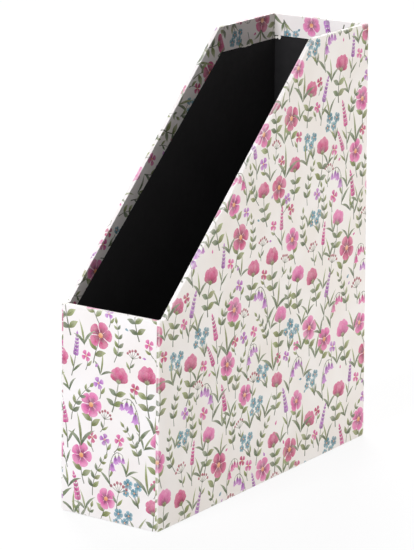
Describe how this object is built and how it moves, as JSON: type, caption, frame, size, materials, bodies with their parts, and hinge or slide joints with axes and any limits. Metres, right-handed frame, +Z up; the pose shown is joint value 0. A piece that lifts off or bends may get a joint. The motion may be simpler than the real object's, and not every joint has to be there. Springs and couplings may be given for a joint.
{
  "type": "magazine holder",
  "caption": "Upright paper-covered cardboard magazine holder with a low front, slanted side edges, a tall back and a black paper lining.",
  "frame": {"origin": "middle of the rectangular footprint, on the surface that the holder stands on", "axes": "+Z up; X across the width; Y along the depth, with the low open front at -Y and the tall back at +Y"},
  "size_m": [0.085, 0.27, 0.32],
  "materials": {
    "printed_paper": "smooth, slightly silky wrapping paper with a small floral print",
    "base_paper": "plain uncoated paper",
    "black_paper": "matte black lining paper",
    "greyboard": "raw recycled greyboard",
    "gummed_tape": "brown gummed paper tape"
  },
  "bodies": {
    "root": {"base_board": "greyboard", "front_board": "greyboard", "back_board": "greyboard", "left_side_board": "greyboard", "right_side_board": "greyboard", "front_left_corner_tape": "gummed_tape", "front_right_corner_tape": "gummed_tape", "back_left_corner_tape": "gummed_tape", "back_right_corner_tape": "gummed_tape", "front_base_tape": "gummed_tape", "back_base_tape": "gummed_tape", "left_base_tape": "gummed_tape", "right_base_tape": "gummed_tape", "left_side_cover": "printed_paper", "right_side_cover": "printed_paper", "front_cover": "printed_paper", "back_cover": "printed_paper", "base_cover": "base_paper", "left_lining": "black_paper", "right_lining": "black_paper", "front_lining": "black_paper", "back_lining": "black_paper", "base_lining": "black_paper"}
  },
  "joints": []
}
